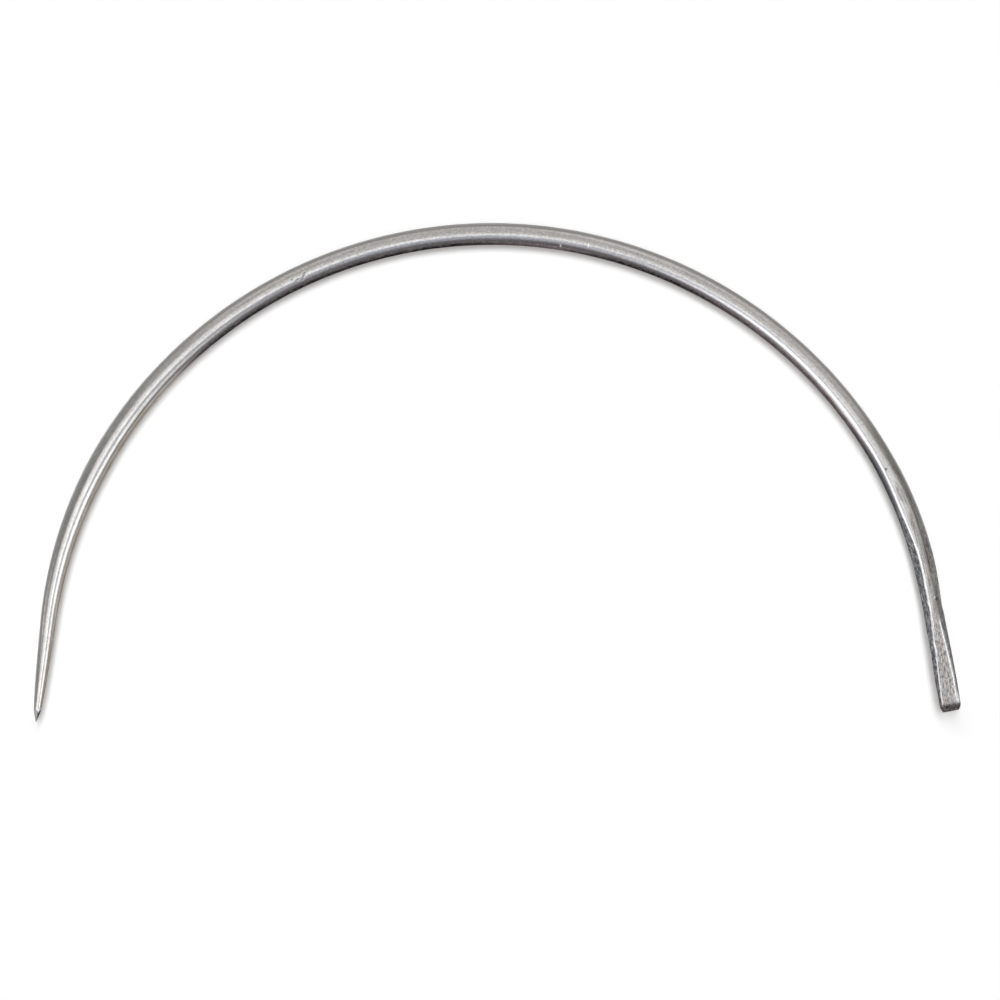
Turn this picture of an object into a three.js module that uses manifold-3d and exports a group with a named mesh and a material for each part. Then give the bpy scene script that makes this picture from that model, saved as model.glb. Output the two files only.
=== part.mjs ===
// A curved needle lying flat: one round steel wire bent into an arch, ground to a long point at one end
// and forged, filed and pierced at the other. Millimetres, +Z up, the arch opening towards -Y.
import * as THREE from "three";
import { mergeVertices } from "three/addons/utils/BufferGeometryUtils.js";
import Module from "manifold-3d";

const { degToRad, lerp, smoothstep } = THREE.MathUtils;

// The wire and its bends, in order from the point to the butt. Angles are in degrees.
const WIRE_DIAMETER = 2.25;
const POINT_LEAN = 7; // the point's own line, off +Y
const POINT_STRAIGHT = 10.42;
const POINT_BEND_RADIUS = 44.85;
const POINT_BEND_ANGLE = 35.3;
const ARCH_RADIUS = 46.45;
const ARCH_ANGLE = 106.4;
const HEAD_BEND_RADIUS = 41.15;
const HEAD_BEND_ANGLE = 20.9;
const HEAD_STRAIGHT = 13.09;

// The ground point: a long bellied taper, then a short steeper cone honed on the tip.
const TAPER_LENGTH = 26.8;
const TAPER_BELLY = 0.355;
const TIP_LENGTH = 1.3;
const TIP_BLUNTNESS = 0.05; // radius left at the very tip

// The head, forged to a near square and pressed in from both sides to a waist. Slanted flanks lead from
// its filed flats to its sides. Places along it are measured from the butt.
const FLAT_LENGTH = 28.5; // where the filed flats run out into the round wire
const FLAT_DEPTH = 0.12; // filed off the round, above and below
const WAIST_AT = 10.5;
const WAIST_WIDTH = 1.92;
const WAIST_FLAT = 0.6; // width of the flats there
const NECK_RUN = 7.5; // from the waist until the sides clear the wire
const BUTT_WIDTH = 2.17;
const BUTT_FLAT = 1.86;
const SIDE_CURVE = 0.35; // how the sides and the flats widen from the waist to the butt, 1 being straight
const FAN_CURVE = 0.85;
const FLANK_RISE = 39; // the way the flanks face, above the plane of the arch
const FLANK_FULL = 15; // where the flanks are pressed in full, and where they run out
const FLANK_END = 24;
const BEVEL_LENGTH = 0.6; // broken edge round the cut end
const BEVEL_SIDE = 0.17;
const CLEAR_OF_WIRE = 1.15; // times the wire's radius

// The eye, a slot from the inside of the arch to the outside, in the bottom of a shallow gutter each side.
const EYE_WALL = 3.4; // solid steel between the butt and the eye
const EYE_LENGTH = 5;
const EYE_HEIGHT = 0.66;
const EYE_FLARE = 0.08; // by which the mouths are eased open
const GUTTER_TO_BUTT = 1.4; // how far the gutter runs past the eye, each way
const GUTTER_TO_SHAFT = 3.2;
const GUTTER_HEIGHT = 0.62;
const GUTTER_DEPTH = 0.06;
const EYE_STEPS = 6; // facets in a quarter of its mouth

// Fineness of the faceting. The points of a quarter ring go up the side, up the flank and over the flat.
const SIDE_POINTS = 2;
const FLANK_POINTS = 4;
const FLAT_POINTS = 1;
const SHAFT_STEP = 2;
const HEAD_STEP = 0.75;
const TAPER_STEPS = 16;

const radius = WIRE_DIAMETER / 2;
const bends = [
  { length: POINT_STRAIGHT, curve: 0 },
  arc(POINT_BEND_RADIUS, POINT_BEND_ANGLE),
  arc(ARCH_RADIUS, ARCH_ANGLE),
  arc(HEAD_BEND_RADIUS, HEAD_BEND_ANGLE),
  { length: HEAD_STRAIGHT, curve: 0 },
];
const length = bends.reduce((sum, bend) => sum + bend.length, 0);

function arc(bendRadius, angle) {
  return { length: bendRadius * degToRad(angle), curve: 1 / bendRadius };
}

// The place on the centreline at distance s from the tip, with the way out of the arch and the way along.
function placeAt(s) {
  const at = new THREE.Vector3(0, 0, radius);
  let heading = degToRad(90 - POINT_LEAN);
  let left = s;
  for (const { length: run, curve } of bends) {
    const step = Math.min(left, run);
    const turn = step * curve;
    const chord = curve ? (2 * Math.sin(turn / 2)) / curve : step;
    at.x += chord * Math.cos(heading - turn / 2);
    at.y += chord * Math.sin(heading - turn / 2);
    heading -= turn;
    left -= step;
  }
  const along = new THREE.Vector3(Math.cos(heading), Math.sin(heading), 0);
  const out = new THREE.Vector3(-along.y, along.x, 0);
  return { at, out, along };
}

// What bounds the head at distance h from the butt: half its width and height, and its flanks' distance
// from the axis. A bound that stands clear of the round wire cuts nothing.
const clear = CLEAR_OF_WIRE * radius;
const flankOut = Math.cos(degToRad(FLANK_RISE));
const flankUp = Math.sin(degToRad(FLANK_RISE));

function boundsAt(h) {
  const fan = Math.max(0, 1 - h / WAIST_AT);
  const bevel = Math.max(0, 1 - h / BEVEL_LENGTH);
  const filed = FLAT_DEPTH * Math.min(1, (FLAT_LENGTH - h) / (FLAT_LENGTH - HEAD_STRAIGHT));
  const halfHeight = Math.min(clear, radius - filed) - bevel * BEVEL_LENGTH;
  const flat = lerp(WAIST_FLAT, BUTT_FLAT, fan ** FAN_CURVE) / 2 - bevel * BEVEL_SIDE;
  const pressed = lerp(WAIST_WIDTH, BUTT_WIDTH, fan ** SIDE_CURVE) / 2;
  const neck = smoothstep(h, WAIST_AT, WAIST_AT + NECK_RUN);
  const halfWidth = lerp(pressed, clear, neck) - bevel * BEVEL_SIDE;
  const round = smoothstep(h, FLANK_FULL, FLANK_END);
  const flank = lerp(flat * flankOut + halfHeight * flankUp, clear, round);
  return { halfWidth, halfHeight, flank, round };
}

// The radius of the round wire and its point, at distance s from the tip.
function radiusAt(s) {
  const taper = (from) => radius * Math.min(1, from / TAPER_LENGTH) ** TAPER_BELLY;
  return s < TIP_LENGTH ? lerp(TIP_BLUNTNESS, taper(TIP_LENGTH), s / TIP_LENGTH) : taper(s);
}

// The angles of a quarter ring's points, where the side ends and the flat starts at these angles.
function edgedQuarter(sideEnd, flatStart) {
  const points = (count, angle) => Array.from({ length: count }, (_, i) => angle(i));
  return [
    ...points(SIDE_POINTS, (i) => (sideEnd * (2 * i + 1)) / (2 * SIDE_POINTS - 1)),
    ...points(FLANK_POINTS, (i) => lerp(sideEnd, flatStart, (i + 1) / FLANK_POINTS)),
    ...points(FLAT_POINTS, (i) => lerp(flatStart, Math.PI / 2, (i + 1) / (FLAT_POINTS + 0.5))),
  ];
}

// The section of the needle at distance s from the tip, as (x, y) points, counter-clockwise.
function sectionAt(s) {
  const h = length - s;
  const { halfWidth, halfHeight, flank, round } = boundsAt(h);
  const sideEnd = Math.atan2((flank - halfWidth * flankOut) / flankUp, halfWidth);
  const flatStart = Math.atan2(halfHeight, (flank - halfHeight * flankUp) / flankOut);
  const edged = edgedQuarter(sideEnd, flatStart);
  const step = Math.PI / 2 / edged.length;
  const rise = edged.map((angle, i) => lerp(angle, (i + 0.5) * step, round));
  const over = [...rise, ...rise.map((angle) => Math.PI - angle).reverse()];
  const rounded = h < WAIST_AT ? Infinity : radiusAt(s) / Math.cos(step / 2);
  return [...over, ...over.map((angle) => Math.PI + angle)].map((angle) => {
    const x = Math.cos(angle);
    const y = Math.sin(angle);
    const toFlank = flank / (Math.abs(x) * flankOut + Math.abs(y) * flankUp);
    const reach = Math.min(rounded, halfWidth / Math.abs(x), halfHeight / Math.abs(y), toFlank);
    return [reach * x, reach * y];
  });
}

// An oblong with round ends as (x, y) points, counter-clockwise.
function slot(halfX, halfY) {
  const points = [];
  const steps = 2 * EYE_STEPS;
  for (let i = 0; i < 2 * steps; i++) {
    const angle = ((i + 0.5) * Math.PI) / steps;
    const x = Math.cos(angle);
    points.push([Math.sign(x) * (halfX - halfY) + halfY * x, halfY * Math.sin(angle)]);
  }
  return points;
}

// A section set up in space: its x along `right`, its y along `up`.
function ringOf(section, at, right, up) {
  return section.map(([x, y]) => at.clone().addScaledVector(right, x).addScaledVector(up, y));
}

// A closed skin over rings of equal count, each end closed to a point in its middle.
function loft(rings, start, end) {
  const count = rings[0].length;
  const points = [start, ...rings.flat(), end];
  const last = points.length - 1;
  const index = [];
  for (let j = 0; j < count; j++) {
    const k = (j + 1) % count;
    index.push(0, 1 + k, 1 + j);
    for (let i = 0; i + 1 < rings.length; i++) {
      const a = 1 + i * count;
      const b = a + count;
      index.push(a + j, a + k, b + k, a + j, b + k, b + j);
    }
    index.push(last, last - count + j, last - count + k);
  }
  return new THREE.BufferGeometry().setFromPoints(points).setIndex(index);
}

// Even places from one distance to another, both included.
function places(from, to, step) {
  const count = Math.max(1, Math.ceil((to - from) / step));
  return Array.from({ length: count + 1 }, (_, i) => from + ((to - from) * i) / count);
}

const wasm = await Module();
wasm.setup();

function solid(geometry) {
  const bare = new THREE.BufferGeometry();
  bare.setAttribute("position", geometry.getAttribute("position"));
  bare.setIndex(geometry.index);
  const merged = mergeVertices(bare, 1e-4);
  return new wasm.Manifold(
    new wasm.Mesh({
      numProp: 3,
      vertProperties: new Float32Array(merged.getAttribute("position").array),
      triVerts: new Uint32Array(merged.index.array),
    }),
  );
}

// The whole wire, with its point and head but no eye.
function wire() {
  const head = length - FLAT_LENGTH;
  const taper = places(0, 1, 1 / TAPER_STEPS).map((t) => lerp(TIP_LENGTH, TAPER_LENGTH, t ** 1.5));
  const along = [
    TIP_BLUNTNESS,
    ...taper,
    ...places(TAPER_LENGTH, head, SHAFT_STEP).slice(1),
    ...places(head, length - HEAD_STRAIGHT, HEAD_STEP).slice(1),
    ...places(length - HEAD_STRAIGHT, length - WAIST_AT, HEAD_STEP).slice(1),
    ...places(length - WAIST_AT, length - BEVEL_LENGTH, HEAD_STEP).slice(1),
    length,
  ];
  const up = new THREE.Vector3(0, 0, 1);
  const rings = along.map((s) => {
    const { at, out } = placeAt(s);
    return ringOf(sectionAt(s), at, out, up);
  });
  return loft(rings, placeAt(0).at, placeAt(length).at);
}

// The slot cut for the eye, eased open towards both sides of the head.
function eye() {
  const middle = EYE_WALL + EYE_LENGTH / 2;
  const { at, out, along } = placeAt(length - middle);
  const reach = boundsAt(middle).halfWidth * 1.2;
  const back = along.clone().negate();
  const up = new THREE.Vector3(0, 0, 1);
  const across = places(-reach, reach, reach / 5).map((x) => {
    const grow = EYE_FLARE * Math.abs(x / reach) ** 3;
    const half = EYE_HEIGHT / 2 + grow;
    return ringOf(slot(EYE_LENGTH / 2 + grow, half), at.clone().addScaledVector(out, x), back, up);
  });
  return loft(across, at.clone().addScaledVector(out, -reach), at.clone().addScaledVector(out, reach));
}

// The gutter pressed along one side of the head: the hollow left by a long egg-shaped punch.
function gutter(side) {
  const [near, far] = [EYE_WALL - GUTTER_TO_BUTT, EYE_WALL + EYE_LENGTH + GUTTER_TO_SHAFT].map((h) => {
    const { at, out } = placeAt(length - h);
    return at.addScaledVector(out, side * boundsAt(h).halfWidth);
  });
  const punch = GUTTER_HEIGHT / 2;
  const mouth = Math.sqrt(1 - (1 - GUTTER_DEPTH / punch) ** 2);
  const up = new THREE.Vector3(0, 0, 1);
  const along = far.clone().sub(near).normalize();
  const across = along.clone().cross(up);
  const centre = near.clone().lerp(far, 0.5).addScaledVector(across, side * (punch - GUTTER_DEPTH));
  return new THREE.SphereGeometry(1, 32, 16)
    .rotateZ(Math.PI / 2)
    .scale(near.distanceTo(far) / 2 / mouth, punch / mouth, punch)
    .applyMatrix4(new THREE.Matrix4().makeBasis(along, up, across).setPosition(centre));
}

const cut = solid(wire()).subtract(solid(eye())).subtract(solid(gutter(1))).subtract(solid(gutter(-1)));
const mesh = cut.getMesh();
const geometry = new THREE.BufferGeometry();
geometry.setAttribute("position", new THREE.BufferAttribute(mesh.vertProperties, 3));
geometry.setIndex(new THREE.BufferAttribute(mesh.triVerts, 1));

// The row's frame: the middle of the needle's box, at the level it lies on.
geometry.computeBoundingBox();
const { min, max } = geometry.boundingBox;
geometry.translate(-(min.x + max.x) / 2, -(min.y + max.y) / 2, -min.z);
geometry.computeVertexNormals();

const steel = new THREE.MeshStandardMaterial({ color: 0x9d9b98, metalness: 1, roughness: 0.34 });
const needle = new THREE.Mesh(geometry, steel);
needle.name = "needle";

const group = new THREE.Group();
group.name = "curved_needle";
group.add(needle);

export default group;
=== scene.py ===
# A curved needle lying flat on a white table, seen from straight above.
# The scene is in metres, in the solid model's frame: +Z up, the arch opening towards -Y. The needle itself is
# worked out in millimetres and then put in its place.
import math

import bmesh
import bpy
import numpy as np
from mathutils import Matrix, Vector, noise


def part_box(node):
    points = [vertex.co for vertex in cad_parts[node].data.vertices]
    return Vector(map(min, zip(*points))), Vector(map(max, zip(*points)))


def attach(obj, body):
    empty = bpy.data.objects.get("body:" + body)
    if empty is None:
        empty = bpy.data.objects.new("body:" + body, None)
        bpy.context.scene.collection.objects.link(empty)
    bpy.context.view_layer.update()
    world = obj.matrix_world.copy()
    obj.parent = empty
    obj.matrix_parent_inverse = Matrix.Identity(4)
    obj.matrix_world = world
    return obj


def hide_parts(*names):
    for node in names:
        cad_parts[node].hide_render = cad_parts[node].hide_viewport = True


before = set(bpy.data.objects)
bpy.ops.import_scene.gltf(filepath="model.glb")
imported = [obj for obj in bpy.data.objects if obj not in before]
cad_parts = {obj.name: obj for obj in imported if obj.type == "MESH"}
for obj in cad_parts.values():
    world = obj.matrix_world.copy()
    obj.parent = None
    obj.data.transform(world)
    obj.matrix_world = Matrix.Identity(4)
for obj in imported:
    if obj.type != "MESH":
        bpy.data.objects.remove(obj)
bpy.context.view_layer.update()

# The needle
# One length of hard steel wire: drawn round, ground to a long point and bent into an arch. The other end is
# pressed narrow, pierced with an eye and filed flat above and below. Nothing is fixed to it.

# Its sizes in millimetres and degrees, from the tip to the butt
WIRE_DIAMETER = 2.25
POINT_LEAN = 7
POINT_STRAIGHT = 10.42
POINT_BEND_RADIUS = 44.85
POINT_BEND_ANGLE = 35.3
ARCH_RADIUS = 46.45
ARCH_ANGLE = 106.4
HEAD_BEND_RADIUS = 41.15
HEAD_BEND_ANGLE = 20.9
HEAD_STRAIGHT = 13.09

radius = WIRE_DIAMETER / 2
bends = [
    (POINT_STRAIGHT, 0),
    (POINT_BEND_RADIUS * math.radians(POINT_BEND_ANGLE), 1 / POINT_BEND_RADIUS),
    (ARCH_RADIUS * math.radians(ARCH_ANGLE), 1 / ARCH_RADIUS),
    (HEAD_BEND_RADIUS * math.radians(HEAD_BEND_ANGLE), 1 / HEAD_BEND_RADIUS),
    (HEAD_STRAIGHT, 0),
]
length = sum(run for run, curve in bends)


def axis_at(distance):
    """Places on the wire's axis at distances from the tip, and the heading there."""
    x = np.zeros_like(distance)
    y = np.zeros_like(distance)
    heading = np.full_like(distance, math.radians(90 - POINT_LEAN))
    left = np.array(distance, float)
    for run, curve in bends:
        step = np.clip(left, 0, run)
        turn = step * curve
        chord = 2 * np.sin(turn / 2) / curve if curve else step
        x = x + chord * np.cos(heading - turn / 2)
        y = y + chord * np.sin(heading - turn / 2)
        heading = heading - turn
        left = left - step
    return x, y, heading


def directions_at(distance):
    """The axis's place at one distance from the tip, and the ways along the wire and out of the arch."""
    x, y, heading = [float(part[0]) for part in axis_at(np.array([distance]))]
    centre = np.array([x, y, radius])
    along = np.array([math.cos(heading), math.sin(heading), 0])
    out = np.array([-math.sin(heading), math.cos(heading), 0])
    return centre, along, out


def eased(value, span):
    """0 up to the span's first end, 1 from its second, and a smooth climb between."""
    start, full = span
    share = np.clip((value - start) / (full - start), 0, 1)
    return share * share * (3 - 2 * share)


def hump(value, middle, half_width):
    """1 in the middle, falling off smoothly to nothing on both sides."""
    return np.exp(-((value - middle) / half_width) ** 2)


# The ground point is a long bellied taper, with four small flats honed on the tip.
TAPER_LENGTH = 26.8
TAPER_BELLY = 0.355
TIP_LENGTH = 1.3
HONED_FLATS = 4
HONED_TURN = -25
HONED_BLUNTNESS = 0.04
HONED_FLATNESS = 0.75
tip_radius = radius * (TIP_LENGTH / TAPER_LENGTH) ** TAPER_BELLY

# The head: forged from the round to a near square, and pressed in from both sides to a waist. It is filed
# flat above and below, and slanted flanks lead from the flats to the sides.
# Places along it are measured from the butt, and a pair of them is where a form starts and where it is full.
FLAT_LENGTH = 28.5
FLAT_DEPTH = 0.12
WAIST_AT = 10.5
WAIST_WIDTH = 1.92
WAIST_FLAT = 0.6
NECK_RUN = 7.5
NECK_SWELL = 0.035
NECK_SWELL_ABOVE = (28, 23)
NECK_SWELL_BELOW = (WAIST_AT, WAIST_AT + 6)
BUTT_WIDTH = 2.17
BUTT_FLAT = 1.86
FAN_CURVE = 0.85
SIDE_CURVE = 0.35
SIDE_SWELL = 0.04
SIDE_SWELL_ABOVE = (WAIST_AT + 4, WAIST_AT + 1)
SIDE_SWELL_BELOW = (1.5, 4)
FLANK_RISE = 39
FLANK_FROM = 24
FLANK_FULL = 15
SPREAD = 0.4
BEVEL_LENGTH = 0.6
BEVEL_SIDE = 0.17
BEVEL_SOFTNESS = 0.25
BEVEL_CURVE = 1.5
BEVEL_REACH = 3
CLEAR_OF_WIRE = 1.15
flank_out = math.cos(math.radians(FLANK_RISE))
flank_up = math.sin(math.radians(FLANK_RISE))


def section_at(distance):
    """What bounds the needle at distances from the tip.

    The radius of its round, half its width, half its height, and how far its flanks are from the axis.
    """
    from_butt = length - distance
    clear = CLEAR_OF_WIRE * radius
    ground = radius * np.minimum(np.maximum(distance, 0) / TAPER_LENGTH, 1) ** TAPER_BELLY
    swollen = NECK_SWELL * eased(from_butt, NECK_SWELL_ABOVE) * eased(from_butt, NECK_SWELL_BELOW)
    rounding = ground * (1 + swollen + SPREAD * eased(WAIST_AT - from_butt, (0, WAIST_AT)))
    fan = np.clip(1 - from_butt / WAIST_AT, 0, 1)
    slope = 1 - from_butt / BEVEL_LENGTH
    bevel = (slope + np.sqrt(slope * slope + BEVEL_SOFTNESS ** 2)) / 2
    bevel = np.where(from_butt < BEVEL_REACH * BEVEL_LENGTH, bevel, 0)
    pressed = (WAIST_WIDTH + (BUTT_WIDTH - WAIST_WIDTH) * fan ** SIDE_CURVE) / 2
    half_width = pressed + (clear - pressed) * eased(from_butt, (WAIST_AT, WAIST_AT + NECK_RUN))
    swell = SIDE_SWELL * eased(from_butt, SIDE_SWELL_BELOW) * eased(from_butt, SIDE_SWELL_ABOVE)
    half_width = half_width + swell - bevel * bevel * BEVEL_SIDE
    filed = FLAT_DEPTH * np.minimum((FLAT_LENGTH - from_butt) / (FLAT_LENGTH - HEAD_STRAIGHT), 1)
    half_height = np.minimum(radius - filed, clear) - bevel ** BEVEL_CURVE * BEVEL_LENGTH
    flat = (WAIST_FLAT + (BUTT_FLAT - WAIST_FLAT) * fan ** FAN_CURVE) / 2 - bevel * BEVEL_SIDE
    slant = flat * flank_out + half_height * flank_up
    flank = slant + (clear - slant) * eased(from_butt, (FLANK_FULL, FLANK_FROM))
    return rounding, half_width, half_height, flank


# The file goes further than the plain fan on the outside of the arch, half as far above the waist, and on the
# inside a little further above the waist and less far below it. It leaves a burr along the outer edge.
FLAT_SHIFT = 0.175
FLAT_SHIFT_DOUBLED = (13, 10)
FLAT_SHIFT_ABOVE = (20, 16)
FLAT_SHIFT_BELOW = (1, 4)
EDGE_BULGE = 0.06
EDGE_BULGE_AT = 13.8
EDGE_BULGE_RUN = 2
EDGE_HOLLOW = 0.06
EDGE_HOLLOW_AT = 5.2
EDGE_HOLLOW_RUN = 1.7
BURR_INSET = 0.13
BURR_WIDTH = 0.1


def shift_at(from_butt):
    """How much further the flats are filed towards the outside of the arch."""
    share = 0.5 + 0.5 * eased(from_butt, FLAT_SHIFT_DOUBLED)
    return FLAT_SHIFT * eased(from_butt, FLAT_SHIFT_BELOW) * share * eased(from_butt, FLAT_SHIFT_ABOVE)


def inner_shift_at(from_butt):
    """How much further they are filed towards the inside."""
    bulge = EDGE_BULGE * hump(from_butt, EDGE_BULGE_AT, EDGE_BULGE_RUN)
    return bulge - EDGE_HOLLOW * hump(from_butt, EDGE_HOLLOW_AT, EDGE_HOLLOW_RUN)


def burr_at(distance):
    """How far out the burr on the outer edge of the flats runs."""
    rounding, half_width, half_height, flank = section_at(distance)
    return (flank - half_height * flank_up) / flank_out + shift_at(length - distance) - BURR_INSET


# Small marks that the needle has picked up: distance from the tip, degrees round from the outer side
# over the top, half length, half width and depth
SCUFF = (56.25, 106, 0.4, 0.22, 0.016)
SCUFF_PITS = [
    (55.5, 85, 0.09, 0.08, 0.03),
    (55.99, 100, 0.16, 0.09, 0.045),
    (56.43, 110, 0.1, 0.08, 0.03),
    (56.64, 101.5, 0.1, 0.12, 0.045),
    (56.77, 90.5, 0.1, 0.14, 0.05),
    (56.9, 80, 0.1, 0.12, 0.045),
]
CREST_FLECK = (83.95, 126, 0.09, 0.09, -0.035)
CREST_SCRATCH = (86.75, 97, 0.036, 0.14, 0.01)
NECK_PIT = (126.4, 101, 0.1, 0.1, 0.06)
WAIST_NICK = (140.75, 54, 0.17, 0.2, 0.1)
NICK_EDGE = (140.55, 68, 0.09, 0.08, -0.02)
glinting_marks = [CREST_FLECK, CREST_SCRATCH, NICK_EDGE]
dark_marks = [NECK_PIT, WAIST_NICK]
marks = [SCUFF, *SCUFF_PITS, *glinting_marks, *dark_marks]


def mark_share(mark, distance, degrees):
    """How much of a mark there is at places on the wire: 1 in its middle, and nothing clear of it."""
    mark_at, mark_turn, half_long, half_wide, depth = mark
    across = radius * np.radians(degrees - mark_turn)
    return np.exp(-((distance - mark_at) / half_long) ** 2 - (across / half_wide) ** 2)


# Rings of the skin, closer where the shape or a mark is fine
AROUND = 128
FIRST_RING = 0.01
LAST_RING = 0.012
CLOSEST_RINGS = 0.01
TIP_STEP = 0.05
TIP_OVERRUN = 1.1
TAPER_STEP = 0.3
TAPER_CROWDING = 1.25
SHAFT_STEP = 0.6
NECK_STEP = 0.15
HEAD_STEP = 0.085
MARK_STEP = 0.06
MARK_REACH = 3
BEVEL_STEP = 0.04
tip_run = TIP_LENGTH * TIP_OVERRUN
bevel_run = 2 * BEVEL_LENGTH


def spaced(start, stop, step):
    """Even places from start up to, and without, stop."""
    return np.linspace(start, stop, max(2, round((stop - start) / step) + 1))[:-1]


stations = np.concatenate([
    [FIRST_RING],
    spaced(TIP_STEP / 2, tip_run, TIP_STEP),
    tip_run + (TAPER_LENGTH - tip_run) * spaced(0, 1, TAPER_STEP / TAPER_LENGTH) ** TAPER_CROWDING,
    spaced(TAPER_LENGTH, length - FLAT_LENGTH, SHAFT_STEP),
    spaced(length - FLAT_LENGTH, length - FLANK_FULL, NECK_STEP),
    spaced(length - FLANK_FULL, length - bevel_run, HEAD_STEP),
    spaced(length - bevel_run, length, BEVEL_STEP),
    [length - LAST_RING],
])
for mark_at, mark_turn, half_long, half_wide, depth in marks:
    if mark_at < length - FLANK_FULL:
        mark_reach = MARK_REACH * half_long
        stations = stations[np.abs(stations - mark_at) > mark_reach]
        stations = np.concatenate([stations, spaced(mark_at - mark_reach, mark_at + mark_reach, MARK_STEP)])
stations = np.sort(stations)
stations = stations[np.concatenate([[True], np.diff(stations) > CLOSEST_RINGS])][:, None]


def waver(along, across, up):
    """Smooth noise from about -1 to 1 at each of many places."""
    places = np.stack(np.broadcast_arrays(along, across, up), -1).reshape(-1, 3)
    values = np.fromiter((noise.noise(place) for place in places.tolist()), float, len(places))
    return values.reshape(np.broadcast_shapes(np.shape(along), np.shape(across), np.shape(up)))


def ripples(places, waves):
    """Noise over places, added up from waves: each one's share, and how many it has to a unit each way."""
    total = 0
    for share, counts in waves:
        total = total + share * waver(*(count * part for count, part in zip(counts, places)))
    return total


# A hand-held file and press leave each edge of the head wandering a little. All are worn soft, least of all
# those outside the arch below the waist.
EDGE_KEENNESS = 26
WORN_KEENNESS = 11
LOW_OUTER_WEAR = 0.6
OUTER_WEAR_RUN = (WAIST_AT - 2, WAIST_AT + 1)
TO_ONE_SIDE = (0, 0.3)
OFF_THE_SIDE = (0.3, 0.6)
CORNER_WEAR = 0.12
CORNER_RUN = 1.6
EDGE_WANDER = 0.036
EDGE_WAVES = [(1, (0.5, 1, 0.5)), (0.6, (1.7, 1, 4.5))]
OUTSIDE_ROW = 7
TOP_ROW = 3
NEARLY_NONE = 1e-6
station_from_butt = length - stations
edges = {}
for to_outside in (1, -1):
    for to_top in (1, -1):
        row = OUTSIDE_ROW * to_outside + TOP_ROW * to_top
        wander = ripples((station_from_butt, row, 1), EDGE_WAVES)
        edges[to_outside, to_top] = 1 + EDGE_WANDER * wander * eased(station_from_butt, (0, bevel_run))


def honed_at(distance, angle):
    """How far the honed flats of the tip are from the axis."""
    facet = 2 * math.pi / HONED_FLATS
    off_facet = np.mod(angle - math.radians(HONED_TURN) + facet / 2, facet) - facet / 2
    flat = HONED_BLUNTNESS + (tip_radius - HONED_BLUNTNESS) * distance / TIP_LENGTH
    return flat / np.cos(HONED_FLATNESS * off_facet)


def reach_at(angle):
    """How far the skin is from the axis at angles round each ring, from the outer side over the top."""
    rounding, half_width, half_height, flank = section_at(stations)
    sideways = np.cos(angle)
    upright = np.sin(angle)
    outer_half = sideways > 0
    wander = np.where(
        outer_half,
        np.where(upright > 0, edges[1, 1], edges[1, -1]),
        np.where(upright > 0, edges[-1, 1], edges[-1, -1]),
    )
    corner = CORNER_WEAR * np.clip(1 - station_from_butt / CORNER_RUN, 0, 1) ** 2 * outer_half
    shift = np.where(outer_half, shift_at(station_from_butt), inner_shift_at(station_from_butt))
    flank = flank * wander + (shift - corner) * flank_out
    limits = np.stack([
        rounding + 0 * angle,
        (half_width - corner) / np.maximum(np.abs(sideways), NEARLY_NONE),
        half_height / np.maximum(np.abs(upright), NEARLY_NONE),
        flank / (np.abs(sideways) * flank_out + np.abs(upright) * flank_up),
        honed_at(stations, angle),
    ])
    outer_wear = LOW_OUTER_WEAR + (1 - LOW_OUTER_WEAR) * eased(station_from_butt, OUTER_WEAR_RUN)
    worn = eased(-sideways, TO_ONE_SIDE) + eased(sideways, TO_ONE_SIDE) * outer_wear
    worn = worn * eased(np.abs(upright), OFF_THE_SIDE) * eased(station_from_butt, (FLANK_FROM, FLANK_FULL))
    keenness = EDGE_KEENNESS + (WORN_KEENNESS - EDGE_KEENNESS) * worn
    nearest = limits.min(0)
    return nearest * ((nearest / limits) ** keenness).sum(0) ** (-1 / keenness)


SMALL_ANGLE = 0.002


def skin_at(angle):
    """Points of the skin and their outward directions, at angles round each ring."""
    before = reach_at(angle - SMALL_ANGLE)
    reach = reach_at(angle)
    turn = np.arctan2(reach_at(angle + SMALL_ANGLE) - before, 2 * SMALL_ANGLE * reach)
    return reach * np.cos(angle), reach * np.sin(angle), np.cos(angle - turn), np.sin(angle - turn)


# Points are shared out round each ring by how far the skin runs there and how sharply it turns.
FINE_POINTS = 1441
TIP_TURN_SHARE = 0.1
MORE_TURN_SHARE = 0.8
TURN_SHARE_RUN = (0.1, 2)
turn_share = MORE_TURN_SHARE * eased(stations, TURN_SHARE_RUN) + TIP_TURN_SHARE
fine_angle = np.broadcast_to(np.linspace(0, 2 * math.pi, FINE_POINTS), (len(stations), FINE_POINTS))
fine_side, fine_up, fine_out, fine_rise = skin_at(fine_angle)
skin_run = np.hypot(np.diff(fine_side), np.diff(fine_up))
bent = np.abs(np.diff(np.unwrap(np.arctan2(fine_rise, fine_out))))
due = skin_run / skin_run.sum(1, keepdims=True) + turn_share * bent / bent.sum(1, keepdims=True)
reached = np.concatenate([np.zeros_like(stations), np.cumsum(due, 1)], 1)
wanted = (np.arange(AROUND) + 0.5) / AROUND * (1 + turn_share)
round_angle = np.stack([np.interp(want, have, fine_angle[0]) for want, have in zip(wanted, reached)])
side, up, normal_side, normal_up = skin_at(round_angle)
along = np.broadcast_to(stations, side.shape)
from_butt = length - along

# The gutter pressed along each side of the head, in which the thread lies beside the eye
EYE_WALL = 3.4
EYE_LENGTH = 5
EYE_HEIGHT = 0.66
GUTTER_TO_BUTT = 1.4
GUTTER_TO_SHAFT = 3.2
GUTTER_HEIGHT = 0.62
GUTTER_DEPTH = 0.06
GUTTER_SOFTNESS = 0.012
GUTTER_FADE = 1

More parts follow.
